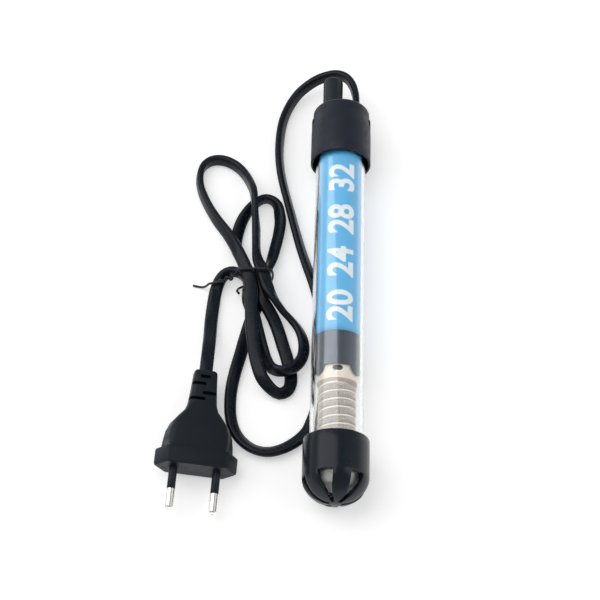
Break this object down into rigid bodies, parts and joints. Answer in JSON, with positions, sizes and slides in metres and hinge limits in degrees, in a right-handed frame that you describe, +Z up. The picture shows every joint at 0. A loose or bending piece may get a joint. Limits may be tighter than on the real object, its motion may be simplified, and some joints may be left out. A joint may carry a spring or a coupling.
{
  "type": "submersible aquarium heater",
  "caption": "Submersible glass-tube aquarium heater with a domed foot guard, a latched head cap with an adjusting knob, and a tied flat lead with a two-pin plug.",
  "frame": {"origin": "centre of the heater's footprint, on the surface that its guard lies on (cord, plug and tie left out)", "axes": "+Y along the tube towards the cap and the knob, +Z up, +X to the right seen from above"},
  "size_m": [0.0924, 0.2311, 0.0289],
  "materials": {
    "glass": "clear borosilicate glass",
    "guard_plastic": "black, satin gloss",
    "cap_plastic": "black-grey, fine matte",
    "rubber_black": "matte",
    "cord_pvc": "black flexible PVC",
    "knob_plastic": "black-grey",
    "brass": "turned",
    "plated_steel": "plated sheet",
    "label_paper": "sky blue printed sheet",
    "shield_metal": "dark slate, glossy",
    "cream_ceramic": "cream, unglazed",
    "core_ceramic": "unglazed",
    "element_wire": "coiled wire, dull grey-beige",
    "mica": "mica sheet",
    "fibre": "white fibre",
    "board": "laminated board",
    "bimetal": "rolled strip",
    "iron": "soft iron",
    "contact_silver": "silver",
    "leaf_bronze": "spring bronze",
    "magnet": "sintered",
    "lamp_glass": "small glass lamp",
    "resistor": "coated",
    "capacitor": "coated disc",
    "brown_wire": "brown insulation",
    "blue_wire": "blue insulation",
    "plug_pvc": "black moulded PVC",
    "pin_metal": "nickel-plated brass",
    "tie": "plastic-covered wire"
  },
  "bodies": {
    "heater": {"glass_tube": "glass", "foot_guard": "guard_plastic", "head_cap": "cap_plastic", "snap_collar": "cap_plastic", "rubber_stopper": "rubber_black", "cord_grommet": "rubber_black", "inner_cord": "cord_pvc", "spindle_seal": "rubber_black", "screw_bush": "brass", "screw_bracket": "plated_steel", "label_sleeve": "label_paper", "heat_shield": "shield_metal", "ceramic_collar": "cream_ceramic", "ceramic_core": "core_ceramic", "heating_wire": "element_wire", "element_terminals": "plated_steel", "mica_disc": "mica", "fibre_pad": "fibre", "thermostat_board": "board", "support_discs": "mica", "bimetal_post": "plated_steel", "contact_leaf": "leaf_bronze", "fixed_contact": "contact_silver", "leaf_post": "plated_steel", "magnet": "magnet", "magnet_post": "plated_steel", "indicator_lamp": "lamp_glass", "lamp_resistor": "resistor", "capacitor": "capacitor", "live_wire": "brown_wire", "neutral_wire": "blue_wire", "element_wire": "brown_wire", "rivets": "plated_steel", "power_cord": "cord_pvc", "plug_body": "plug_pvc", "plug_pins": "pin_metal", "pin_sleeves": "plug_pvc", "twist_tie": "tie"},
    "dial": {"adjuster_knob": "knob_plastic", "adjuster_spindle": "brass"},
    "screw": {"adjusting_screw": "brass"},
    "bimetal": {"bimetal_strip": "bimetal", "armature": "iron", "moving_contact": "contact_silver"}
  },
  "joints": [
    {"name": "knob_turn", "type": "hinge", "parent": "heater", "child": "dial", "pos_m": [-0.0042, 0.1, 0.0144], "axis": [0, 1, 0], "range_deg": [-155, 155]},
    {"name": "screw_feed", "type": "slide", "parent": "dial", "child": "screw", "axis": [0, 1, 0], "range_m": [-0.00029, 0.00029]},
    {"name": "bimetal_flex", "type": "hinge", "parent": "heater", "child": "bimetal", "pos_m": [-0.0042, -0.0097, 0.01935], "axis": [1, 0, 0], "range_deg": [-0.5, 1.2], "stiffness_Nm_per_rad": 0.05}
  ],
  "couplings": [
    {"joint": "knob_turn", "follows": "screw_feed", "rad_per_m": 8976}
  ]
}
